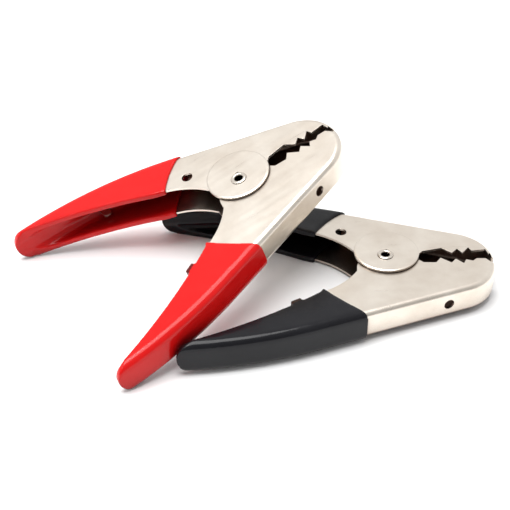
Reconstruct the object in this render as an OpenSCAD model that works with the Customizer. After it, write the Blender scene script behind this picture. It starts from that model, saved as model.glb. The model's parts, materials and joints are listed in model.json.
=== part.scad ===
// Pair of spring clips (alligator clips) for test leads and battery terminals.
// Each clip is two folded sheet levers on a hollow rivet, closed by a torsion spring,
// with dipped soft grips. Origin: centre of the first clip's rivet. +Z along its axis,
// +X parallel to the line where its jaws meet, +Y towards its upper lever. Units: mm.

/* [Levers] */
// Width of the upper lever over its two cheeks
clip_w = 14; // [13:0.5:16]
// Thickness of the plated steel sheet
sheet = 0.9; // [0.7:0.1:1.0]
// Clearance between an upper cheek and the lower cheek inside it
cheek_gap = 0.15; // [0.1:0.05:0.3]
// Angle between the straight part of a spine and the jaw line
spine_tilt = 19.8; // [19:0.1:20.5]
// Height of the upper spine over the jaw line, measured at the rivet
upper_spine_h = 27.8; // [27.4:0.1:28.2]
// Depth of the lower spine under the jaw line, measured at the rivet
lower_spine_h = 28.2; // [27.8:0.1:28.6]
// Radius of the upper nose seen from the side
upper_nose_r = 17.6; // [17.2:0.1:18]
// Radius of the lower nose seen from the side
lower_nose_r = 18; // [17.6:0.1:18.4]

/* [Pivot] */
// Distance from the jaw line up to the rivet axis
pivot_h = 2.4; // [1.8:0.2:3]
// Radius of the round boss on the upper cheeks
boss_r = 12.9; // [12:0.1:13.5]
// Height of the boss above the cheek
boss_rise = 0.25; // [0.1:0.05:0.4]
// Radius of the hole through the hollow rivet
rivet_bore_r = 1.6; // [1.3:0.1:1.7]
// Outside radius of the rivet's barrel
rivet_r = 2.2; // [2.1:0.1:2.6]
// Radius of the rivet's flared ends
rivet_head_r = 3.1; // [2.9:0.1:3.6]

/* [Holes] */
// Diameter of the cable screw hole, in the upper lever's cheek on the +Z side
cheek_hole_d = 4.5; // [3.5:0.1:5]
// Diameter of the hole through the lower spine near the nose
spine_hole_d = 4.2; // [3:0.1:5]

/* [Spring] */
// Diameter of the spring wire
wire_d = 1.6; // [1.2:0.1:1.8]
// Mean radius of the coil
coil_r = 4.6; // [4.2:0.1:5.5]

/* [Grips] */
// Thickness of the dipped coating
grip_t = 0.9; // [0.6:0.1:1.0]

/* [Position] */
// Opening of the first clip's jaws, in degrees from the middle position
first_open = 1.5; // [0:0.5:20]
// Opening of the second clip's jaws, in degrees from the middle position
second_open = -1; // [-1.5:0.5:20]
// Place of the second clip's rivet centre, along X
second_x = -54.8; // [-55:0.1:-54.6]
// Place of the second clip's rivet centre, along Y
second_y = 20.2; // [20:0.1:20.4]
// Height of the second clip's rivet centre
second_z = 25.95; // [25.9:0.05:40]
// Tilt of the second clip about X
second_roll = 2.56; // [2.5:0.02:2.6]
// Tilt of the second clip about Y
second_pitch = -19.66; // [-19.7:0.02:-19.6]
// Turn of the second clip about Z
second_turn = 23.2; // [23.1:0.05:23.3]

/* [Hidden] */
$fn = 96;
far = 130;
depth = 50;
swell = 0.006;
run_gap = 0.06;
out = [sin(spine_tilt), cos(spine_tilt)];
slope = tan(spine_tilt);
lap = 3 * [cos(spine_tilt), -sin(spine_tilt)];
boss_c = [0.8, 5.2];
lower_boss_r = boss_r - 0.3;
crotch_c = [-41, -12.5];
crotch_r = 34.4;
cheek_hole = [-15.8, 18.9];
spine_hole_x = 22.5;
hole_reach = 3;
// The boss's step inside its outline, and the rivet's lips over it
boss_step = 0.2;
lip = 0.6;
lip_round = 0.4;
// Reach of the plain areas that a folded channel is joined from
under = 10;
nose_depth = 35;
handle_inner = 100;
handle_outer = 20;
handle_low = 60;
root_drop = 2;
root_len = 8;
gap_h = 8;
gap_len = 20;

// A lever's own sizes: half width, spine height, nose radius, where the handle's curve
// starts, the curve's radius, the handle's tip, and two points on the handle's inner edge
upper = [clip_w / 2, upper_spine_h, upper_nose_r, -16, 170, -88, [-27, 18.3], [-80, 41.3]];
lower = [clip_w / 2 - sheet - cheek_gap, lower_spine_h, lower_nose_r, -28, 175, -80.5,
    [-26.4, 19.7], [-74, 46]];
function half(v) = v[0];
function spine_at(v, x) = v[1] - x * slope;
function nose_r(v) = v[2];
function nose_c(v) = [(v[1] - v[2] / out[1]) / slope, 0];
function nose_t(v) = nose_c(v) + v[2] * out;
function bend_t(v) = [v[3], spine_at(v, v[3])];
function handle_r(v) = v[4];
function handle_c(v) = bend_t(v) - v[4] * out;
function tip(v) = v[5];
function edge_start(v) = v[6];
function edge_end(v) = v[7];
// Radius of that edge's arc, its rise over the chord at the ear, and the least rim of a cheek
inner_r = 230;
edge_bow = 0.7;
rim = 0.3;

// Toothed edges, as heights over the jaw line, from the boss to the nose
upper_teeth = [[13.2, 2.9], [15, 4.5], [22.9, 6.1], [26.5, 2.7], [29, 5.3], [30.7, 2.5],
    [33.6, 5.9], [34.6, 3.7], [40.2, 4.4], [40.9, 1.1], [41.5, 2.2], [42.1, -0.6], [44.5, -0.6]];
lower_teeth = [[13.2, -0.6], [14.8, 1], [19.8, 1.2], [21.9, -1.7], [25.8, 1.5], [27.8, -0.9],
    [30.6, 2], [31.8, -0.4], [34.4, 0.5], [36.1, -1], [39.6, -0.9], [41.2, 1.2], [44.5, 1.6]];
upper_nose_end = 0.4;
lower_nose_end = 1.1;

// Small cable lugs: two folded up from the upper spine, and an ear on the lower cheek's edge
lug_x = -49.5;
lug_len = 5;
lug_h = 6;
lug_z = 3.4;
ear_x = -35.8;
ear_w = 2.6;
ear_h = 1.4;

// Centre of the circle of radius r through p and q, on the right of the way from p to q
function arc_centre(p, q, r) =
    let (d = q - p, l = norm(d), s = sqrt(r * r - l * l / 4))
    (p + q) / 2 + s * [d[1], -d[0]] / l;

// Part of a cheek's side area that is cut away below the handle; g leaves that much more
module handle_cut(v, g) {
    translate(crotch_c) circle(crotch_r - g);
    intersection() {
        translate(arc_centre(edge_end(v), edge_start(v), inner_r)) circle(inner_r - g);
        translate([edge_start(v)[0] - far, -far]) square([far, 2 * far]);
        handle_area(v, sheet + g + rim);
    }
}

// Side area kept of a folded channel: above its toothed edge and its handle's inner edge
module side_area(v, teeth, g) {
    difference() {
        polygon(concat([[0, -root_drop], [-root_len, -root_drop], [-root_len, boss_c[1]],
            [-far, boss_c[1]], [-far, far], [far, far], [far, teeth[len(teeth) - 1][1]]],
            [for (i = [len(teeth) - 1 : -1 : 0]) teeth[i]]));
        handle_cut(v, g);
    }
}

// Side areas under a spine's outer line moved inward by k: nose, straight part and handle
module nose_area(v, k) {
    intersection() {
        translate(nose_c(v)) circle(nose_r(v) - k + swell);
        polygon([nose_c(v) - under * out - lap, nose_c(v) + far * out - lap, [far, 0], [far, -under]]);
    }
}

module straight_area(v, k) {
    polygon([nose_t(v) - k * out, nose_t(v) - nose_depth * out, bend_t(v) - depth * out,
        bend_t(v) - k * out]);
}

module handle_area(v, k) {
    intersection() {
        translate(handle_c(v)) circle(handle_r(v) - k + swell);
        polygon([handle_c(v) + handle_inner * out + lap,
            handle_c(v) + (handle_r(v) + handle_outer) * out + lap, [-far, far], [-far, -handle_low]]);
    }
}

// The three areas as one block of half width w
module block(v, k, w) {
    translate([0, 0, -w]) {
        linear_extrude(2 * w) nose_area(v, k);
        linear_extrude(2 * w) straight_area(v, k);
        linear_extrude(2 * w) handle_area(v, k);
    }
}

// A side area as a tall prism across the clip
module tall() {
    translate([0, 0, -far / 2]) linear_extrude(far) children();
}

// Folded channel cut by its side shape (the children): cheeks and spine; g coats it
module channel(v, g) {
    difference() {
        intersection() {
            block(v, -g, half(v) + g);
            union() children();
        }
        block(v, sheet + g, half(v) - sheet - g);
    }
}

// Round end of a handle seen from outside
module tip_plan(v, g) {
    w = half(v) + g;
    x = tip(v) - g;
    rotate([90, 0, 0]) translate([0, 0, -far]) linear_extrude(2 * far) {
        translate([x + w, 0]) circle(w);
        translate([x + w, -w]) square([far + 40, 2 * w]);
    }
}

module pivot_hole(y, r) {
    translate([0, y, -far]) cylinder(r = r, h = 2 * far);
}

// Opening between the two ends of the nose, between the cheeks
module nose_gap(v, y) {
    translate([nose_c(v)[0] + gap_h, y - gap_h, sheet - half(v)])
        cube([gap_len, gap_h, 2 * (half(v) - sheet)]);
}

// Upper lever about the jaw line: outer cheeks, raised bosses, screw hole and cable lugs
module upper_lever_shape() {
    difference() {
        union() {
            intersection() {
                channel(upper, 0) {
                    tall() side_area(upper, upper_teeth, 0);
                    tall() translate(boss_c) circle(boss_r);
                }
                tip_plan(upper, 0);
            }
            for (z = [-half(upper) - boss_rise, half(upper) - sheet / 2])
                translate([boss_c[0], boss_c[1], z])
                    cylinder(r = boss_r - boss_step, h = sheet / 2 + boss_rise);
            cable_lugs();
        }
        pivot_hole(pivot_h, rivet_r + run_gap / 2);
        translate([cheek_hole[0], cheek_hole[1], 0])
            cylinder(d = cheek_hole_d, h = far);
        nose_gap(upper, upper_nose_end);
    }
}

// Height of a lever's outer line at a place x on the handle's curve
function handle_y(v, x) = handle_c(v)[1] + sqrt(pow(handle_r(v), 2) - pow(x - handle_c(v)[0], 2));

module cable_lugs() {
    for (side = [-1, 1])
        translate([lug_x, handle_y(upper, lug_x) - sheet / 2, side * lug_z - sheet / 2])
            linear_extrude(sheet)
            polygon([[-lug_len / 2, 0], [lug_len / 2, 0], [lug_len / 4, -lug_h],
                [-lug_len / 4, -lug_h]]);
}

// Ears on the edges of the lower cheeks, beside the cable; g grows them for the coating
module cable_ear(g) {
    run = edge_start(lower) - edge_end(lower);
    lean = atan2(run[1], run[0]);
    y = edge_start(lower)[1] + (ear_x - edge_start(lower)[0]) * tan(lean) + edge_bow;
    translate([ear_x, y]) rotate(lean) translate([-ear_w / 2 - g, -ear_h - g])
        square([ear_w + 2 * g, ear_h + 3]);
}

// Lower lever, drawn on the same side of the jaw line as the upper one
module lower_lever_shape() {
    difference() {
        intersection() {
            channel(lower, 0) {
                tall() side_area(lower, lower_teeth, 0);
                tall() translate(boss_c) circle(lower_boss_r);
                tall() cable_ear(0);
            }
            tip_plan(lower, 0);
        }
        pivot_hole(-pivot_h, rivet_r + run_gap);
        translate([spine_hole_x, spine_at(lower, spine_hole_x), 0])
            rotate([0, 0, -spine_tilt]) rotate([90, 0, 0])
            translate([0, 0, -hole_reach]) cylinder(d = spine_hole_d, h = 2 * hole_reach);
        nose_gap(lower, lower_nose_end);
    }
}

// Area of a grip seen from the side; its edge towards the jaws is an arc of radius r
module grip_area(top, bottom, r) {
    difference() {
        translate([-far, -under]) square([far, far]);
        translate(arc_centre(bottom, top, r)) circle(r);
        translate([bottom[0], -under]) square([far, bottom[1] + under]);
    }
}

module upper_grip_shape() {
    difference() {
        intersection() {
            channel(upper, grip_t) tall() intersection() {
                side_area(upper, upper_teeth, grip_t);
                grip_area([-11.3, 33.4], [-27.2, 16.6], 46);
            }
            tip_plan(upper, grip_t);
        }
        upper_lever_shape();
    }
}

module lower_grip_shape() {
    difference() {
        intersection() {
            channel(lower, grip_t) {
                tall() intersection() {
                    side_area(lower, lower_teeth, grip_t);
                    grip_area([-8.8, 33.6], [-25.8, 17.2], 150);
                }
                tall() cable_ear(grip_t);
            }
            tip_plan(lower, grip_t);
        }
        lower_lever_shape();
    }
}

// Hollow rivet about its own axis, flared over both bosses
module rivet_shape() {
    seat = half(upper) + boss_rise;
    rotate_extrude() polygon([[rivet_bore_r, -seat - lip], [rivet_head_r - lip_round, -seat - lip],
        [rivet_head_r, -seat - lip / 2], [rivet_head_r, -seat], [rivet_r, -seat],
        [rivet_r, seat], [rivet_head_r, seat], [rivet_head_r, seat + lip / 2],
        [rivet_head_r - lip_round, seat + lip], [rivet_bore_r, seat + lip]]);
}

// One straight length of wire from a to b in the plane at height z
module wire_leg(a, b, z) {
    d = b - a;
    translate([a[0], a[1], z]) rotate([0, 0, atan2(d[1], d[0])]) rotate([0, 90, 0])
        cylinder(d = wire_d, h = norm(d), $fn = 32);
}

// Closed coil round the rivet and the two legs that press the handles apart
coils = 4;
pitch = wire_d - 0.12;
coil_top = (coils - 1) * pitch / 2;
leg_land = 12;
leg_air = 0.3;
leg_settle = 0.9;
leg_inset = (sheet + wire_d / 2 + leg_air) / out[1];
leg_high = spine_at(upper, -leg_land) - leg_inset - pivot_h;
leg_low = leg_inset + leg_settle - spine_at(lower, -leg_land) - pivot_h;

module spring_shape() {
    rotate_extrude($fn = 48) for (i = [0 : coils - 1])
        translate([coil_r, i * pitch - coil_top]) circle(d = wire_d, $fn = 32);
    wire_leg([0, -coil_r], [-leg_land, leg_low], -coil_top);
    wire_leg([0, coil_r], [-leg_land, leg_high], coil_top);
}

// Upper side of a clip as drawn about the jaw line, moved so that the rivet is the origin
module upper_side() {
    translate([0, -pivot_h, 0]) children();
}

// Lower side: mirrored below the jaw line, and turned open about the rivet
module lower_side(open) {
    rotate([0, 0, -open]) translate([0, -pivot_h, 0]) mirror([0, 1, 0]) children();
}

// Place of the second clip, leaning over the first
module second() {
    translate([second_x, second_y, second_z])
        rotate([second_roll, second_pitch, second_turn]) children();
}

module black_upper_lever() {
    color([0.9, 0.87, 0.82]) upper_side() upper_lever_shape();
}

module black_lower_lever() {
    color([0.88, 0.85, 0.8]) lower_side(first_open) lower_lever_shape();
}

module black_pivot_rivet() {
    color([0.8, 0.78, 0.74]) rivet_shape();
}

module black_torsion_spring() {
    color([0.5, 0.5, 0.52]) spring_shape();
}

module black_upper_grip() {
    color([0.12, 0.12, 0.13]) upper_side() upper_grip_shape();
}

module black_lower_grip() {
    color([0.12, 0.12, 0.13]) lower_side(first_open) lower_grip_shape();
}

module red_upper_lever() {
    color([0.9, 0.87, 0.82]) second() upper_side() upper_lever_shape();
}

module red_lower_lever() {
    color([0.88, 0.85, 0.8]) second() lower_side(second_open) lower_lever_shape();
}

module red_pivot_rivet() {
    color([0.8, 0.78, 0.74]) second() rivet_shape();
}

module red_torsion_spring() {
    color([0.5, 0.5, 0.52]) second() spring_shape();
}

module red_upper_grip() {
    color([0.86, 0.12, 0.1]) second() upper_side() upper_grip_shape();
}

module red_lower_grip() {
    color([0.86, 0.12, 0.1]) second() lower_side(second_open) lower_grip_shape();
}

black_upper_lever();
black_lower_lever();
black_pivot_rivet();
black_torsion_spring();
black_upper_grip();
black_lower_grip();
red_upper_lever();
red_lower_lever();
red_pivot_rivet();
red_torsion_spring();
red_upper_grip();
red_lower_grip();
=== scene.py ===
import json
import math
import bpy
import bmesh
from mathutils import Matrix, Vector


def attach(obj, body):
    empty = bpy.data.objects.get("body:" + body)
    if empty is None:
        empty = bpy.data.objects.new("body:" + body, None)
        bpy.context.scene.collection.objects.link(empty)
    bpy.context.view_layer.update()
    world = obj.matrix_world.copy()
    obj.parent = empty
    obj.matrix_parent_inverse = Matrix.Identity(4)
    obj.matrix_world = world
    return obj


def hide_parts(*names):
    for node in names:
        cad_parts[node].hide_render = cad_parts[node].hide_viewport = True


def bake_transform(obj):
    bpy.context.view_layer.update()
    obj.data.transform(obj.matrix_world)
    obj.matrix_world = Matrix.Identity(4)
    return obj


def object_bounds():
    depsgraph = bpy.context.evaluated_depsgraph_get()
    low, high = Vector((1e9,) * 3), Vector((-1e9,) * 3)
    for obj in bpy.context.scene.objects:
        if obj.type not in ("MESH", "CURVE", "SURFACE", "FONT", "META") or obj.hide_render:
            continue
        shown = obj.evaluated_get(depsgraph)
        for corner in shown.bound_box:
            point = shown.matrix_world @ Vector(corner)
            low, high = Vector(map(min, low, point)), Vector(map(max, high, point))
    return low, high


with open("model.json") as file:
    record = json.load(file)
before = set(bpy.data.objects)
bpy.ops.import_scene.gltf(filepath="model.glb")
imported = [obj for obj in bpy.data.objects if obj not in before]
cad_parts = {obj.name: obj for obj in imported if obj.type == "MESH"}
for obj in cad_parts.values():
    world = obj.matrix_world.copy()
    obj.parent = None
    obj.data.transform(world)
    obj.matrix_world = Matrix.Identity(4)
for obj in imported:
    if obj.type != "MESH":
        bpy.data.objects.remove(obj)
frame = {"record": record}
cad_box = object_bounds()
record = frame["record"]

# Sizes of the two levers, in millimetres, about the line where the jaws meet.
# x runs towards the nose and y from the jaw line towards the spine.
MM = 0.001
TILT = math.radians(19.8)  # slope of the straight part of each spine
OUT = Vector((math.sin(TILT), math.cos(TILT)))
SLOPE = math.tan(TILT)
SHEET = 0.9
GRIP = 0.9  # thickness of the dipped coating
FOLD = 2.2  # outer radius of a lever's folds
GRIP_FOLD_IN = 3.4  # inner radius of a grip's folds
PIVOT_H = 2.4  # the rivet's distance from the jaw line
FAR = 130.0  # past every part of a clip
RIM = 0.3  # what is left of a cheek under the spine, at least
INNER_R = 230.0  # radius of a cheek's edge along the handle
CROTCH = Vector((-41.0, -12.5))  # centre of the round opening between the handles
CROTCH_R = 34.4
BOSS = Vector((0.8, 5.2))
BOSS_RISE = 0.25
BOSS_BORE = 0.9
SCREW_HOLE = (-15.8, 18.9)
SCREW_HOLE_R = 2.25
SCREW_TOOL = (30, 18)  # length and middle height, so that it cuts only the near cheek
SPINE_HOLE_X = 22.5
SPINE_HOLE_R = 2.1
SPINE_TOOL = 6
THROUGH = 40  # length of a hole's tool through both cheeks
OVERRUN = 6.0  # how far the shapes run past the handle's tip before its plan cuts them
NOSE_START = -0.6  # angle under the nose where the outline starts
BLOCK_LOW, CORE_LOW, BLOCK_FRONT = -60, -70, 14  # where a folded block is closed, off the sheet
LEVER_MARGIN, GRIP_MARGIN = 3, 4  # how far the side areas' tools pass the cheeks
MOUTH_RUN = Vector((4, 3))  # the grip's mouth starts this far outside its top point
EAR_X, EAR_HALF, EAR_DROP, EAR_ROOT, EAR_LIFT = -35.8, 1.3, 1.4, 1.6, 0.7
LUG_X, LUG_Z, LUG_HALF, LUG_H = -49.5, 3.4, 2.5, 6
LUG_SHOULDER, LUG_TOP = (1.6, 5.4), 0.8  # half width and height where it narrows, then its top
NOSE_GAP = (8, 20, 8)  # distance from the nose's centre, length and height
WIRE_R, COIL_R, COIL_RISE, COIL_TURNS = 0.8, 4.6, 2.22, 2
LEG_ENDS = (Vector((-12, -31.9)), Vector((-12, 27.6)))
VOXEL, RELAX_STEPS = ((0.42, 8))

UPPER = {
    "half": 7.0, "spine_h": 27.8, "nose_r": 17.6, "bend_x": -16.0, "handle_r": 170.0,
    "tip": -88.0, "edge": ((-27.0, 18.3), (-80.0, 41.3)), "boss_r": 12.9, "boss_from": -10.5,
    "nose_end": 0.4, "seat_r": 2.23, "mouth": ((-11.3, 33.4), (-27.2, 16.6), 46.0),
    "teeth": [(15, 4.5), (22.9, 6.1), (26.5, 2.7), (29, 5.3), (30.7, 2.5), (33.6, 5.9),
              (34.6, 3.7), (40.2, 4.4), (40.9, 1.1), (41.5, 2.2), (42.1, -0.6), (44.5, -0.6)],
}
LOWER = {
    "half": 5.95, "spine_h": 28.2, "nose_r": 18.0, "bend_x": -28.0, "handle_r": 175.0,
    "tip": -80.5, "edge": ((-26.4, 19.7), (-74.0, 46.0)), "boss_r": 12.6, "boss_from": -28.2,
    "nose_end": 1.1, "seat_r": 2.26, "mouth": ((-8.8, 33.6), (-25.8, 17.2), 150.0),
    "teeth": [(13.2, -0.6), (14.8, 1), (19.8, 1.2), (21.9, -1.7), (25.8, 1.5), (27.8, -0.9),
              (30.6, 2), (31.8, -0.4), (34.4, 0.5), (36.1, -1), (39.6, -0.9), (41.2, 1.2),
              (44.5, 1.6)],
}


# ---------------------------------------------------------------- plane curves

def unit(a):
    return Vector((math.cos(a), math.sin(a)))


def steps(a, b, n):
    """n even steps from a to b, both ends included."""
    return [a + (b - a) * i / n for i in range(n + 1)]


def nose_c(v):
    """Centre of a lever's round nose, on the jaw line."""
    return Vector(((v["spine_h"] - v["nose_r"] / OUT.y) / SLOPE, 0.0))


def handle_c(v):
    """Centre of the wide arc that a lever's handle follows."""
    x = v["bend_x"]
    return Vector((x, v["spine_h"] - x * SLOPE)) - v["handle_r"] * OUT


def circle_y(c, r, x):
    """Height of the upper side of a circle at x."""
    return c.y + math.sqrt(max(r * r - (x - c.x) ** 2, 0.0))


def arc_centre(p, q, r):
    """Centre of the circle of radius r through p and q, on the right of the way p to q."""
    p, q = Vector(p), Vector(q)
    d = q - p
    rise = math.sqrt(r * r - d.length_squared / 4)
    return (p + q) / 2 + rise * Vector((d.y, -d.x)).normalized()


def outline(v, k):
    """A lever's outer line moved inward by k, from under the nose to past the tip."""
    top = math.pi / 2 - TILT
    c, hc = nose_c(v), handle_c(v)
    end = math.acos((v["tip"] - OVERRUN - hc.x) / v["handle_r"])
    return ([c + (v["nose_r"] - k) * unit(a) for a in steps(NOSE_START, top, 30)]
            + [hc + (v["handle_r"] - k) * unit(a) for a in steps(top, end, 36)])


def inner_edge(v, g, x):
    """Height of a cheek's edge along the handle at x; g is the coating's thickness."""
    y = -FAR
    if abs(x - CROTCH.x) < CROTCH_R - g:
        y = circle_y(CROTCH, CROTCH_R - g, x)
    start, end = v["edge"]
    if x <= start[0]:
        arc = circle_y(arc_centre(end, start, INNER_R), INNER_R - g, x)
        rim = circle_y(handle_c(v), v["handle_r"] - SHEET - g - RIM, x)
        y = max(y, min(arc, rim))
    return y


def close_over(low, x_end):
    """A side area: everything above the line low, which runs from the nose to the tip."""
    return low + [Vector((x_end, low[-1].y)), Vector((x_end, FAR)), Vector((low[0].x, FAR))]


def lever_side(v):
    """Side area of a lever: teeth, round cheek, crotch, then the edge along the handle."""
    teeth = [Vector(p) for p in reversed(v["teeth"])]
    low = [Vector((FAR, teeth[0].y))] + teeth
    across = CROTCH - BOSS
    d, r1, r2 = across.length, v["boss_r"], CROTCH_R
    along = (r1 * r1 - r2 * r2 + d * d) / (2 * d)
    u = across / d
    meet = BOSS + along * u + math.sqrt(r1 * r1 - along * along) * Vector((u.y, -u.x))
    last = math.atan2(meet.y - BOSS.y, meet.x - BOSS.x)
    last -= 2 * math.pi if last > 0 else 0
    low += [BOSS + r1 * unit(a) for a in steps(math.radians(v["boss_from"]), last, 64)]
    first = math.atan2(meet.y - CROTCH.y, meet.x - CROTCH.x)
    turn = math.acos((v["edge"][0][0] - CROTCH.x) / CROTCH_R)
    low += [CROTCH + CROTCH_R * unit(a) for a in steps(first, turn, 24)[1:]]
    low += [Vector((x, inner_edge(v, 0.0, x)))
            for x in steps(v["edge"][0][0], v["tip"] - OVERRUN, 60)[1:]]
    return close_over(low, -FAR)


def grip_side(v):
    """Side area of a grip: its mouth's arc, then the coated edge of the cheek."""
    top, bottom, r = v["mouth"]
    c = arc_centre(bottom, top, r)
    first, last = Vector(top) + MOUTH_RUN - c, Vector(bottom) - c
    arc = [c + r * unit(a)
           for a in steps(math.atan2(first.y, first.x), math.atan2(last.y, last.x), 40)]
    low = [p for p in arc if p.y > inner_edge(v, GRIP, p.x)]
    low += [Vector((x, inner_edge(v, GRIP, x)))
            for x in steps(low[-1].x - 0.2, v["tip"] - OVERRUN, 80)]
    return close_over(low, -FAR)


# ---------------------------------------------------------------- meshes

def mesh_object(name, verts, faces):
    """An object of these faces, with doubled points merged and every face turned outward."""
    me = bpy.data.meshes.new(name)
    me.from_pydata([tuple(v) for v in verts], [], faces)
    bm = bmesh.new()
    bm.from_mesh(me)
    bmesh.ops.remove_doubles(bm, verts=bm.verts, dist=1e-5)
    bmesh.ops.recalc_face_normals(bm, faces=bm.faces)
    bm.to_mesh(me)
    bm.free()
    ob = bpy.data.objects.new(name, me)
    bpy.context.scene.collection.objects.link(ob)
    return ob


def stack(name, rings):
    """Closed mesh through rings of equal count."""
    n = len(rings[0])
    verts = [p for ring in rings for p in ring]
    faces = []
    for i in range(len(rings) - 1):
        a, b = i * n, (i + 1) * n
        faces += [(a + j, a + (j + 1) % n, b + (j + 1) % n, b + j) for j in range(n)]
    faces += [tuple(range(n)), tuple(range(len(verts) - n, len(verts)))]
    return mesh_object(name, verts, faces)


def prism(name, area, lo, hi):
    return stack(name, [[(p.x, p.y, z) for p in area] for z in (lo, hi)])


def channel_block(name, v, k, w, fold, low):
    """Solid under a lever's outer line moved in by k, half width w, its two folds rounded."""
    rings = []
    bends = steps(math.pi / 2, 0, 7)
    for side, turns in ((-1, bends), (1, bends[::-1])):
        for a in turns:
            line = outline(v, k + fold * (1 - math.cos(a)))
            line += [Vector((v["tip"] - OVERRUN, low)), Vector((nose_c(v).x + BLOCK_FRONT, low))]
            z = side * (w - fold + fold * math.sin(a))
            rings.append([(p.x, p.y, z) for p in line])
    return stack(name, rings)


def tip_plan(name, v, g):
    """Everything seen from above within the cheeks and the handle's round tip."""
    w = v["half"] + g
    x = v["tip"] - g + w
    line = [Vector((x, 0)) + w * unit(a) for a in steps(math.pi / 2, 1.5 * math.pi, 48)]
    line += [Vector((FAR, -w)), Vector((FAR, w))]
    return stack(name, [[(p.x, y, p.y) for p in line] for y in (-FAR, FAR)])


def lathe(name, profile, n=72):
    """Closed ring-shaped mesh from a closed (radius, z) profile."""
    verts, faces, m = [], [], len(profile)
    for i in range(n):
        c, s = math.cos(2 * math.pi * i / n), math.sin(2 * math.pi * i / n)
        verts += [(r * c, r * s, z) for r, z in profile]
    for i in range(n):
        a, b = i * m, ((i + 1) % n) * m
        faces += [(a + j, a + (j + 1) % m, b + (j + 1) % m, b + j) for j in range(m)]
    return mesh_object(name, verts, faces)


def rod(name, centre, r, length, matrix=Matrix.Identity(4), n=56):
    """A round tool, its middle on centre at height 0 unless matrix moves it."""
    rings = [[(r * math.cos(2 * math.pi * i / n), r * math.sin(2 * math.pi * i / n), z)
              for i in range(n)] for z in (-length / 2, length / 2)]
    ob = stack(name, rings)
    ob.data.transform(Matrix.Translation((*centre, 0)) @ matrix)
    return ob


def box(name, lo, hi):
    corners = ((lo[0], lo[1]), (hi[0], lo[1]), (hi[0], hi[1]), (lo[0], hi[1]))
    return prism(name, [Vector(p) for p in corners], lo[2], hi[2])


def baked(ob):
    """Replaces the object's mesh by what its modifiers make of it."""
    bpy.context.view_layer.update()
    dg = bpy.context.evaluated_depsgraph_get()
    me = bpy.data.meshes.new_from_object(ob.evaluated_get(dg))
    ob.modifiers.clear()
    ob.data = me


def solid(ob, how, *tools):
    """Joins, cuts or intersects ob with each tool, and deletes the tools."""
    for t in tools:
        m = ob.modifiers.new("bool", "BOOLEAN")
        m.object, m.operation, m.solver = t, how, "EXACT"
        baked(ob)
        bpy.data.objects.remove(t)
    return ob


# ---------------------------------------------------------------- the two levers

def folded(name, v, g, fold_out, fold_in):
    """A lever's folded channel, thicker by g on both sides of the sheet."""
    ob = channel_block(name, v, -g, v["half"] + g, fold_out, BLOCK_LOW)
    inner = channel_block("inner", v, SHEET + g, v["half"] - SHEET - g, fold_in, CORE_LOW)
    return solid(ob, "DIFFERENCE", inner)


def boss_disc(v, side):
    """Pressed boss with a soft shoulder over a cheek."""
    r = v["boss_r"]
    profile = [(BOSS_BORE, -0.4), (r - 0.12, -0.4), (r - 0.12, 0.01), (r - 0.25, 0.07),
               (r - 0.45, 0.19), (r - 0.75, BOSS_RISE), (BOSS_BORE, BOSS_RISE)]
    ob = lathe("boss", profile, 128)
    ob.data.transform(Matrix.Translation((BOSS.x, BOSS.y, 0)))
    if side < 0:
        ob.data.transform(Matrix.Diagonal((1, 1, -1, 1)))
        ob.data.flip_normals()
    ob.data.transform(Matrix.Translation((0, 0, side * v["half"])))
    return ob


def edge_ears(v, g):
    """Small ears on the edges of the lower cheeks."""
    (x0, y0), (x1, y1) = v["edge"]
    lean = math.atan2(y0 - y1, x0 - x1)
    y = y0 + (EAR_X - x0) * math.tan(lean) + EAR_LIFT
    ears = []
    for side in (-1, 1):
        lo, hi = sorted((side * (v["half"] + g), side * (v["half"] - SHEET - g)))
        ear = box("ear", (-EAR_HALF - g, -EAR_DROP - g, lo), (EAR_HALF + g, EAR_ROOT, hi))
        ear.data.transform(Matrix.Translation((EAR_X, y, 0)) @ Matrix.Rotation(lean, 4, "Z"))
        ears.append(ear)
    return ears


def cable_lugs(v):
    """Two small lugs folded up from the inside of the upper spine."""
    root = Vector((LUG_X, circle_y(handle_c(v), v["handle_r"], LUG_X) - SHEET / 2))
    w, h = LUG_SHOULDER
    area = [root + Vector(p) for p in ((-LUG_HALF, 0), (LUG_HALF, 0), (w, -h), (LUG_TOP, -LUG_H),
                                       (-LUG_TOP, -LUG_H), (-w, -h))]
    return [prism("lug", area, z - SHEET / 2, z + SHEET / 2) for z in (-LUG_Z, LUG_Z)]


def nose_gap(v):
    """What is cut away under the nose, between the cheeks."""
    ahead, length, height = NOSE_GAP
    x, y, w = nose_c(v).x + ahead, v["nose_end"], v["half"] - SHEET
    return box("gap", (x, y - height, -w), (x + length, y, w))


def mark(ob, inside):
    """Gives the faces whose centre lies inside the second material."""
    for face in ob.data.polygons:
        face.material_index = 1 if inside(face.center) else 0


def on_lug(p):
    """True near the lugs, clear of the spine's inner face."""
    inside = circle_y(handle_c(UPPER), UPPER["handle_r"], p.x) - SHEET
    return abs(p.x - LUG_X) < 3 and abs(p.z) < 4 and p.y < inside - 0.1


def on_ear(p):
    """True near the ears, clear of the coated edge of the cheek."""
    return abs(p.x - EAR_X) < 4 and p.y < inner_edge(LOWER, GRIP, p.x) - 0.25


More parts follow.
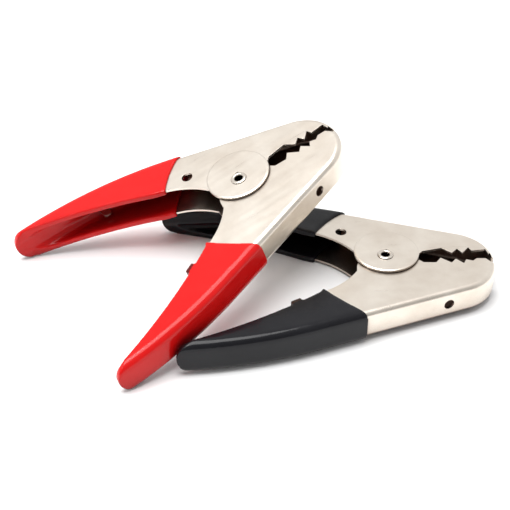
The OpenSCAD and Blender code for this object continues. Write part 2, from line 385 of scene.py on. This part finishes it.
def lever(name, v):
    """The folded sheet with its bosses and lugs, or its ears, and then its holes."""
    ob = folded(name, v, 0.0, FOLD, FOLD - SHEET)
    z = v["half"] + LEVER_MARGIN
    side = prism("side", lever_side(v), -z, z)
    solid(ob, "INTERSECT", side, tip_plan("plan", v, 0.0))
    if v is UPPER:
        solid(ob, "UNION", boss_disc(v, 1), boss_disc(v, -1), *cable_lugs(v))
        pivot_y = PIVOT_H
        length, height = SCREW_TOOL
        hole = rod("hole", SCREW_HOLE, SCREW_HOLE_R, length, Matrix.Translation((0, 0, height)))
    else:
        solid(ob, "UNION", *edge_ears(v, 0.0))
        pivot_y = -PIVOT_H
        at = (SPINE_HOLE_X, v["spine_h"] - SPINE_HOLE_X * SLOPE)
        lean = Matrix.Rotation(-TILT, 4, "Z") @ Matrix.Rotation(math.pi / 2, 4, "X")
        hole = rod("hole", at, SPINE_HOLE_R, SPINE_TOOL, lean)
    seat = rod("seat", (0, pivot_y), v["seat_r"], THROUGH)
    solid(ob, "DIFFERENCE", seat, hole, nose_gap(v))
    if v is UPPER:
        # painted light: the lug faces get the lighter copy of the plating
        mark(ob, on_lug)
    return ob


def grip(name, v, metal):
    """Dipped coating: remeshed and relaxed so that every edge is a soft bead."""
    ob = folded(name, v, GRIP, FOLD + GRIP, GRIP_FOLD_IN)
    z = v["half"] + GRIP_MARGIN
    side = prism("side", grip_side(v), -z, z)
    solid(ob, "INTERSECT", side, tip_plan("plan", v, GRIP))
    if v is LOWER:
        solid(ob, "UNION", *edge_ears(v, GRIP))
    m = ob.modifiers.new("voxels", "REMESH")
    m.mode, m.voxel_size = "VOXEL", VOXEL
    m = ob.modifiers.new("relax", "SMOOTH")
    m.factor, m.iterations = 0.5, RELAX_STEPS
    baked(ob)
    cutter = bpy.data.objects.new("cutter", metal.data.copy())
    bpy.context.scene.collection.objects.link(cutter)
    solid(ob, "DIFFERENCE", cutter)
    if v is LOWER:
        # painted shade: the ear faces get the darker copy of the vinyl
        mark(ob, on_ear)
    return ob


def rivet(name):
    """Hollow rivet: a thin barrel whose two ends are rolled out over the bosses."""
    seat = UPPER["half"] + BOSS_RISE
    lip = [(2.2, 0.0), (3.0, 0.0), (3.1, 0.1), (3.08, 0.26), (2.9, 0.44), (2.6, 0.56),
           (2.3, 0.6), (2.0, 0.52), (1.78, 0.34), (1.66, 0.08), (1.6, -0.4)]
    top = [(r, seat + z) for r, z in lip]
    return lathe(name, top + [(r, -z) for r, z in reversed(top)])


def wire(name, path, r, n=14):
    """Round wire along a path, with its ends closed."""
    rings, side = [], Vector((0, 0, 1))
    for i, p in enumerate(path):
        d = (path[min(i + 1, len(path) - 1)] - path[max(i - 1, 0)]).normalized()
        a = d.cross(side).normalized()
        b = a.cross(d)
        rings.append([p + r * (math.cos(t) * a + math.sin(t) * b)
                      for t in steps(0, 2 * math.pi, n)[:-1]])
    return stack(name, rings)


def spring(name):
    """Torsion spring: a helix round the rivet with a straight leg along each spine."""
    start, end = LEG_ENDS
    a0 = math.atan2(start.y, start.x) + math.acos(COIL_R / start.length)
    a1 = math.atan2(end.y, end.x) - math.acos(COIL_R / end.length) + 2 * math.pi * COIL_TURNS
    n = 96
    coil = [Vector((COIL_R * math.cos(a), COIL_R * math.sin(a), -COIL_RISE + 2 * COIL_RISE * i / n))
            for i, a in enumerate(steps(a0, a1, n))]
    first = [Vector((*start.lerp(coil[0].xy, t), -COIL_RISE)) for t in steps(0, 1, 12)[:-1]]
    last = [Vector((*coil[-1].xy.lerp(end, t), COIL_RISE)) for t in steps(0, 1, 12)[1:]]
    return wire(name, first + coil + last, WIRE_R)


# ---------------------------------------------------------------- materials

class Nodes:
    """Short forms for building a node tree."""

    def __init__(self, name):
        self.mat = bpy.data.materials.new(name)
        self.mat.use_nodes = True
        self.tree = self.mat.node_tree
        self.bsdf = self.tree.nodes["Principled BSDF"]
        place = self.tree.nodes.new("ShaderNodeAttribute")
        place.attribute_name = "own_place"
        self.coord = place.outputs["Vector"]

    def link(self, a, b):
        self.tree.links.new(a, b)

    def new(self, kind, **values):
        node = self.tree.nodes.new("ShaderNode" + kind)
        for key, value in values.items():
            if key in node.inputs:
                node.inputs[key].default_value = value
            else:
                setattr(node, key, value)
        return node

    def noise(self, scale, stretch=(1, 1, 1), detail=3.0, rough=0.5):
        place = self.new("Mapping")
        self.link(self.coord, place.inputs["Vector"])
        place.inputs["Scale"].default_value = stretch
        tex = self.new("TexNoise", Scale=scale, Detail=detail, Roughness=rough)
        self.link(place.outputs["Vector"], tex.inputs["Vector"])
        return tex.outputs["Fac"]

    def span(self, fac, lo, hi, a, b):
        """Takes fac from the range lo to hi to the range a to b, and holds it there."""
        node = self.new("MapRange")
        self.link(fac, node.inputs["Value"])
        for key, value in zip(("From Min", "From Max", "To Min", "To Max"), (lo, hi, a, b)):
            node.inputs[key].default_value = value
        return node.outputs["Result"]

    def mix(self, fac, a, b):
        """Colour a where fac is 0 and b where it is 1; each is a colour or another node's."""
        node = self.tree.nodes.new("ShaderNodeMix")
        node.data_type = "RGBA"
        for slot_index, value in ((0, fac), (6, a), (7, b)):
            if isinstance(value, tuple):
                node.inputs[slot_index].default_value = (*value, 1)
            else:
                self.link(value, node.inputs[slot_index])
        return node.outputs[2]

    def bump(self, height, strength, distance, normal=None):
        node = self.new("Bump")
        node.inputs["Strength"].default_value = strength
        node.inputs["Distance"].default_value = distance
        self.link(height, node.inputs["Height"])
        if normal is not None:
            self.link(normal, node.inputs["Normal"])
        return node.outputs["Normal"]

    def rounded(self, radius):
        node = self.new("Bevel", samples=4)
        node.inputs["Radius"].default_value = radius
        return node.outputs["Normal"]

    def shade(self, distance):
        """0 where shade falls in a tight recess, 1 in the open."""
        node = self.new("AmbientOcclusion", samples=8)
        node.inputs["Distance"].default_value = distance
        return node.outputs["AO"]

    def done(self, colour, roughness, normal, **values):
        self.link(colour, self.bsdf.inputs["Base Color"])
        self.link(roughness, self.bsdf.inputs["Roughness"])
        self.link(normal, self.bsdf.inputs["Normal"])
        for key, value in values.items():
            self.bsdf.inputs[key.replace("_", " ")].default_value = value
        return self.mat


STEP_SHADOW = (0.02, 0.012, 0.008)  # painted shadow: the dark line in the tight step where one sheet ends over another


def plated(name, light, dark, hollow_shade, rough):
    """Bright nickel plating: cloudy tone, faint rolling lines, hairline scratches, painted shade in
    hollows and painted shadow along steps.
    """
    n = Nodes(name)
    cloud = n.noise(90, detail=4)
    lines = n.noise(260, (0.12, 1.6, 1.6), 5, 0.6)
    scratch = n.noise(420, (0.05, 1.0, 1.0), 2)
    colour = n.mix(n.span(cloud, 0.35, 0.7, 0, 1), light, dark)
    colour = n.mix(n.span(scratch, 0.66, 0.72, 0, 0.18), colour, dark)
    # painted shade: colour darkened in hollows, where shade falls, by ambient occlusion
    colour = n.mix(n.span(n.shade(0.02), 0.25, 0.8, 1, 0), colour, hollow_shade)
    # painted shadow: a dark line in tight steps, such as along the boss's edge, by short-range
    # ambient occlusion
    colour = n.mix(n.span(n.shade(0.0012), 0.45, 0.8, 1, 0), colour, STEP_SHADOW)
    roughness = n.span(lines, 0.3, 0.7, rough - 0.03, rough + 0.05)
    normal = n.bump(n.noise(55, detail=1), 0.35, 0.0004, n.rounded(0.00022))
    normal = n.bump(lines, 0.05, 0.00004, normal)
    return n.done(colour, roughness, normal, Metallic=1.0)


def vinyl(name, colour, scuffed, hollow_shade, rough):
    """Glossy dipped vinyl: slight sag, fine orange peel, dust and scuffs, painted shade in hollows.
    """
    n = Nodes(name)
    dust = n.noise(900, detail=4, rough=0.7)
    tone = n.mix(n.span(n.noise(70), 0.3, 0.7, 0, 0.35), colour, scuffed)
    tone = n.mix(n.span(dust, 0.62, 0.8, 0, 0.3), tone, scuffed)
    # painted shade: colour darkened in hollows, where shade falls, by ambient occlusion
    tone = n.mix(n.span(n.shade(0.016), 0.2, 0.8, 1, 0), tone, hollow_shade)
    roughness = n.span(n.noise(160, detail=4), 0.3, 0.7, rough - 0.05, rough + 0.1)
    normal = n.bump(n.noise(110, detail=1), 0.5, 0.0006)
    normal = n.bump(n.noise(1400, detail=2), 0.1, 0.00005, normal)
    return n.done(tone, roughness, normal, Coat_Weight=0.15, Coat_Roughness=0.05,
                  Specular_IOR_Level=0.2)


NICKEL = plated("plated_steel", (0.86, 0.79, 0.70), (0.74, 0.66, 0.57), (0.17, 0.105, 0.08), 0.3)
RIVET = plated("rivet_steel", (0.80, 0.74, 0.66), (0.62, 0.55, 0.48), (0.03, 0.02, 0.015), 0.24)
# painted light: a lighter copy of the plated steel with weak painted shade, so that the lugs stay
# bright inside the spine
LUG_PAINTED_LIGHT = plated("plated_lug_painted_light", (0.86, 0.79, 0.70), (0.80, 0.72, 0.63), (0.5, 0.42, 0.36), 0.3)
WIRE = plated("spring_steel", (0.36, 0.34, 0.32), (0.24, 0.22, 0.20), (0.05, 0.04, 0.03), 0.34)
RED = vinyl("red_vinyl", (0.57, 0.005, 0.005), (0.63, 0.012, 0.010), (0.13, 0.002, 0.003), 0.15)
BLACK = vinyl("black_vinyl", (0.006, 0.006, 0.008), (0.012, 0.012, 0.015),
              (0.003, 0.002, 0.002), 0.16)
# painted shade: darker copies of the vinyls for the small ears, which sit where shade falls
RED_TAB_SHADE = vinyl("red_tab_painted_shade", (0.10, 0.003, 0.002), (0.14, 0.008, 0.006), (0.03, 0.001, 0.001), 0.3)
BLACK_TAB_SHADE = vinyl("black_tab_painted_shade", (0.022, 0.009, 0.005), (0.03, 0.014, 0.008),
                  (0.006, 0.003, 0.002), 0.3)


# ---------------------------------------------------------------- placing the pieces

mounts = {m["name"]: m for m in record["mounts"]}


def place_of(clip):
    """Matrix from a clip's own frame to the row frame, in metres."""
    origin = Vector(mounts[clip + "_rivet_bore"]["pos_m"])
    up = Vector(mounts[clip + "_rivet_bore"]["axis"])
    hole = Vector(mounts[clip + "_cable_screw_hole"]["pos_m"]) - origin
    hole -= hole.dot(up) * up
    nominal = math.atan2(SCREW_HOLE[1] - PIVOT_H, SCREW_HOLE[0])
    x = Matrix.Rotation(-nominal, 3, up) @ hole.normalized()
    y = up.cross(x)
    return Matrix.Translation(origin) @ Matrix((x, y, up)).transposed().to_4x4()


def jaw_opening(clip, place):
    """Angle of the lower lever from its middle position, read from its spine hole."""
    at = place.inverted() @ Vector(mounts[clip + "_spine_hole"]["pos_m"])
    depth = LOWER["spine_h"] - SPINE_HOLE_X * SLOPE
    middle = Vector((SPINE_HOLE_X, -depth - PIVOT_H))
    middle -= Vector((math.sin(TILT), -math.cos(TILT))) * SHEET / 2
    return math.atan2(middle.y, middle.x) - math.atan2(at.y, at.x)


def smooth(ob, angle):
    """Smooth shading, with edges sharper than the angle in degrees left crisp."""
    ob.data.shade_smooth()
    ob.data.set_sharp_from_angle(angle=math.radians(angle))
    m = ob.modifiers.new("normals", "WEIGHTED_NORMAL")
    m.keep_sharp, m.weight = True, 100


def put(source, node, local, place, material, body, angle, second=None):
    """A copy of a built shape, set in its clip's frame, that stands for a CAD node."""
    me = source.data.copy()
    me.transform(local)
    if local.determinant() < 0:
        me.flip_normals()
    me.transform(Matrix.Diagonal((MM, MM, MM, 1)))
    own = me.attributes.new("own_place", "FLOAT_VECTOR", "POINT")
    own.data.foreach_set("vector", [c for vert in me.vertices for c in vert.co])
    me.transform(place)
    ob = bpy.data.objects.new(node + "_visual", me)
    bpy.context.scene.collection.objects.link(ob)
    marks = [face.material_index for face in me.polygons]
    me.materials.clear()
    me.materials.append(material)
    me.materials.append(second or material)
    me.polygons.foreach_set("material_index", marks)
    smooth(ob, angle)
    if body:
        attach(ob, body)
    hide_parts(node)
    return ob


shapes = {"upper_lever": lever("upper_shape", UPPER),
          "lower_lever": lever("lower_shape", LOWER)}
shapes["upper_grip"] = grip("upper_grip_shape", UPPER, shapes["upper_lever"])
shapes["lower_grip"] = grip("lower_grip_shape", LOWER, shapes["lower_lever"])
shapes["pivot_rivet"] = rivet("rivet_shape")
shapes["torsion_spring"] = spring("spring_shape")

# each clip's third colour is a darker copy of its vinyl, painted shade on the lower grip's ears
for clip, skin, tab in (("black", BLACK, BLACK_TAB_SHADE), ("red", RED, RED_TAB_SHADE)):
    place = place_of(clip)
    upper = Matrix.Translation((0, -PIVOT_H, 0))
    lower = (Matrix.Rotation(-jaw_opening(clip, place), 4, "Z") @ upper
             @ Matrix.Diagonal((1, -1, 1, 1)))
    still = Matrix.Identity(4)
    parts = (("upper_lever", upper, NICKEL, "_clip", 32, LUG_PAINTED_LIGHT),
             ("lower_lever", lower, NICKEL, "_lower_jaw", 32, None),
             ("pivot_rivet", still, RIVET, "_clip", 50, None),
             ("upper_grip", upper, skin, "_clip", 42, None),
             ("lower_grip", lower, skin, "_lower_jaw", 42, tab))
    for part, local, material, body, angle, second in parts:
        put(shapes[part], clip + "_" + part, local, place, material, clip + body, angle, second)
    coil = put(shapes["torsion_spring"], clip + "_torsion_spring", still, place, WIRE, None, 50)
    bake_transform(coil)

for ob in shapes.values():
    bpy.data.objects.remove(ob)


# ---------------------------------------------------------------- floor, light and camera

# In metres. The camera and its lens were fitted to the photograph.
FLOOR = 25.0
FLOOR_AIR = 0.00002
EYE = (-0.0710, -0.3702, 0.2912)
LOOK = Vector((0.0419, 0.7948, -0.6054))
SIDEWAYS = Vector((0.9986, -0.0526, 0.0))
LENS = 83.96
KEY_AT, KEY_SIZE, KEY_POWER = Vector((-0.12, -0.02, 0.85)), 0.75, 8
STRIP_AT, STRIP_SIZE, STRIP_POWER = Vector((-0.5, -0.12, 0.7)), (0.035, 0.7), 1.3

floor_z = cad_box[0].z - FLOOR_AIR
floor = mesh_object("floor", [(-FLOOR, -FLOOR, floor_z), (FLOOR, -FLOOR, floor_z),
                              (FLOOR, FLOOR, floor_z), (-FLOOR, FLOOR, floor_z)],
                    [(0, 1, 2, 3)])
paper = Nodes("paper")
paper.bsdf.inputs["Base Color"].default_value = (0.92, 0.92, 0.92, 1)
paper.bsdf.inputs["Roughness"].default_value = 0.75
floor.data.materials.append(paper.mat)

world = bpy.data.worlds.new("studio")
bpy.context.scene.world = world
world.use_nodes = True
sky = world.node_tree.nodes  # brighter behind the object than behind the camera
way = sky.new("ShaderNodeTexCoord")
split = sky.new("ShaderNodeSeparateXYZ")
ramp = sky.new("ShaderNodeMapRange")
for key, value in (("From Min", -0.85), ("From Max", 0.1), ("To Min", 0.35), ("To Max", 0.88)):
    ramp.inputs[key].default_value = value
sky["Background"].inputs["Color"].default_value = (1.0, 1.0, 1.0, 1)
world.node_tree.links.new(way.outputs["Generated"], split.inputs["Vector"])
world.node_tree.links.new(split.outputs["Y"], ramp.inputs["Value"])
world.node_tree.links.new(ramp.outputs["Result"], sky["Background"].inputs["Strength"])


def softbox(name, at, aim, size, power, length=None):
    """A round lamp, or a long strip when it has a length."""
    data = bpy.data.lights.new(name, "AREA")
    data.shape, data.size, data.energy = "RECTANGLE" if length else "DISK", size, power
    if length:
        data.size_y = length
    ob = bpy.data.objects.new(name, data)
    bpy.context.scene.collection.objects.link(ob)
    ob.matrix_world = (Matrix.Translation(at)
                       @ (aim - at).to_track_quat("-Z", "Y").to_matrix().to_4x4())


middle = (cad_box[0] + cad_box[1]) / 2
softbox("key", middle + KEY_AT, middle, KEY_SIZE, KEY_POWER)
softbox("strip", middle + STRIP_AT, middle, STRIP_SIZE[0], STRIP_POWER, STRIP_SIZE[1])

camera = bpy.data.cameras.new("camera")
camera.lens, camera.sensor_width = LENS, 36.0
camera.clip_start, camera.clip_end = 0.01, 100
eye = bpy.data.objects.new("camera", camera)
bpy.context.scene.collection.objects.link(eye)
forward, right = LOOK.normalized(), SIDEWAYS.normalized()
eye.matrix_world = (Matrix.Translation(EYE)
                    @ Matrix((right, right.cross(forward), -forward)).transposed().to_4x4())
bpy.context.scene.camera = eye
bpy.context.scene.view_settings.view_transform = "Standard"
